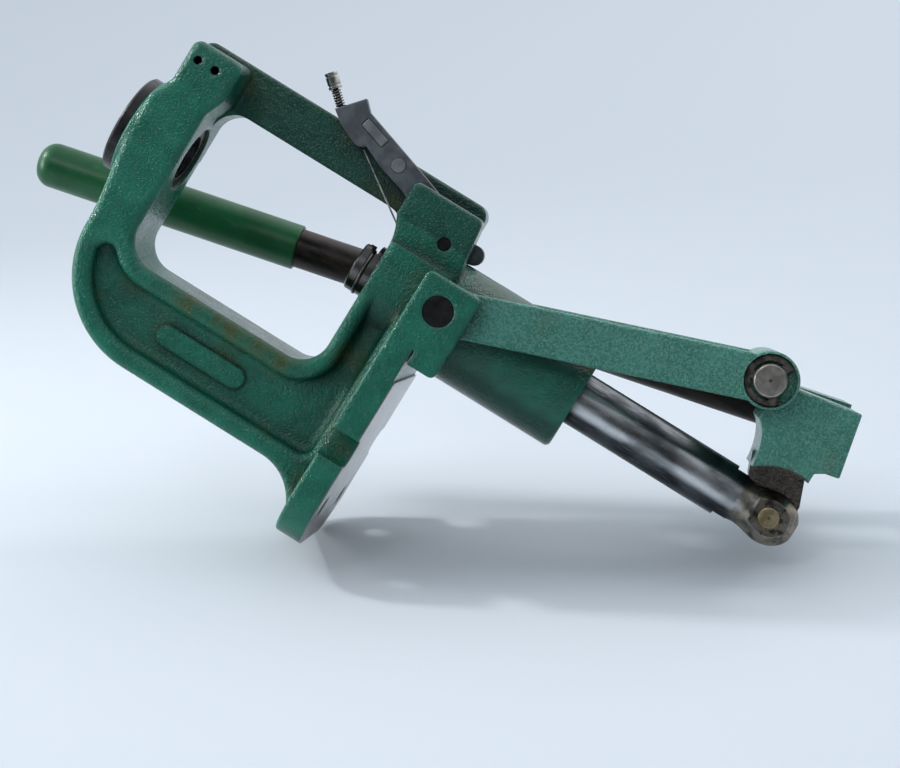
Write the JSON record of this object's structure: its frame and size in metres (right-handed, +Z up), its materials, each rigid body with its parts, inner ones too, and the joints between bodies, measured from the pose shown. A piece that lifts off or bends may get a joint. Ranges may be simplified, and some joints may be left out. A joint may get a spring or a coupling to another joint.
{
  "type": "bench cartridge press",
  "caption": "Bench press with an O-shaped cast frame, a toggle-linked ram under a threaded die station, a side lever with a vinyl grip and a swinging priming arm.",
  "frame": {"origin": "centre of the machined bench face under the flange", "axes": "+Z up along the ram's travel, +X towards the operator, +Y the operator's right, where the handle is"},
  "size_m": [0.1892, 0.1255, 0.4022],
  "materials": {
    "green_enamel": "glossy dark green enamel over a rough casting",
    "hammered_green": "hammered green enamel",
    "green_vinyl": "glossy green dipped vinyl",
    "ground_steel": "ground and polished, oil stained",
    "turned_steel": "turned bright",
    "yellow_steel": "plain, aged yellow",
    "dark_steel": "blackened",
    "brown_steel": "browned and dull",
    "spring_steel": "oiled spring steel",
    "die_cast": "grey die casting"
  },
  "bodies": {
    "frame": {"frame_casting": "green_enamel", "die_bushing": "dark_steel", "left_pivot_pin": "dark_steel", "right_pivot_pin": "dark_steel", "priming_arm_pin": "dark_steel", "priming_arm_spring": "spring_steel"},
    "ram": {"ram": "ground_steel", "ram_pin": "yellow_steel", "shell_holder_spring": "spring_steel"},
    "toggle": {"toggle_block": "hammered_green", "link_pin": "turned_steel", "left_washer": "dark_steel", "right_washer": "dark_steel", "left_snap_ring": "spring_steel", "right_snap_ring": "spring_steel", "handle_rod": "brown_steel", "handle_grip": "green_vinyl", "handle_set_screw": "dark_steel"},
    "links": {"left_link": "hammered_green", "right_link": "hammered_green"},
    "priming_arm": {"priming_arm": "die_cast", "primer_plug": "turned_steel"},
    "primer_sleeve": {"primer_sleeve": "turned_steel", "primer_spring": "spring_steel"}
  },
  "joints": [
    {"name": "handle_swing", "type": "hinge", "parent": "ram", "child": "toggle", "pos_m": [0.076, 0, -0.1726], "axis": [0, 1, 0], "range_deg": [0, 124.32]},
    {"name": "ram_slide", "type": "slide", "parent": "frame", "child": "ram", "axis": [0, 0, 1], "range_m": [0, 0.0878]},
    {"name": "link_pivot", "type": "hinge", "parent": "toggle", "child": "links", "pos_m": [0.129, 0, -0.139], "axis": [0, 1, 0], "range_deg": [-102.69, 0]},
    {"name": "priming_arm_swing", "type": "hinge", "parent": "frame", "child": "priming_arm", "pos_m": [0.1045, 0, 0.0157], "axis": [0, -1, 0], "range_deg": [0, 41.5], "stiffness_Nm_per_rad": 0.02, "springref_deg": -34.38, "deforming": ["priming_arm_spring"]},
    {"name": "primer_sleeve_slide", "type": "slide", "parent": "priming_arm", "child": "primer_sleeve", "axis": [-0.6626, 0, -0.749], "range_m": [0, 0.003], "stiffness_N_per_m": 250, "springref_m": -0.002, "deforming": ["primer_spring"]}
  ],
  "couplings": [
    {"joint": "ram_slide", "follows": "handle_swing", "m_per_rad": 0.040403},
    {"joint": "link_pivot", "follows": "handle_swing", "ratio": -0.82521}
  ]
}
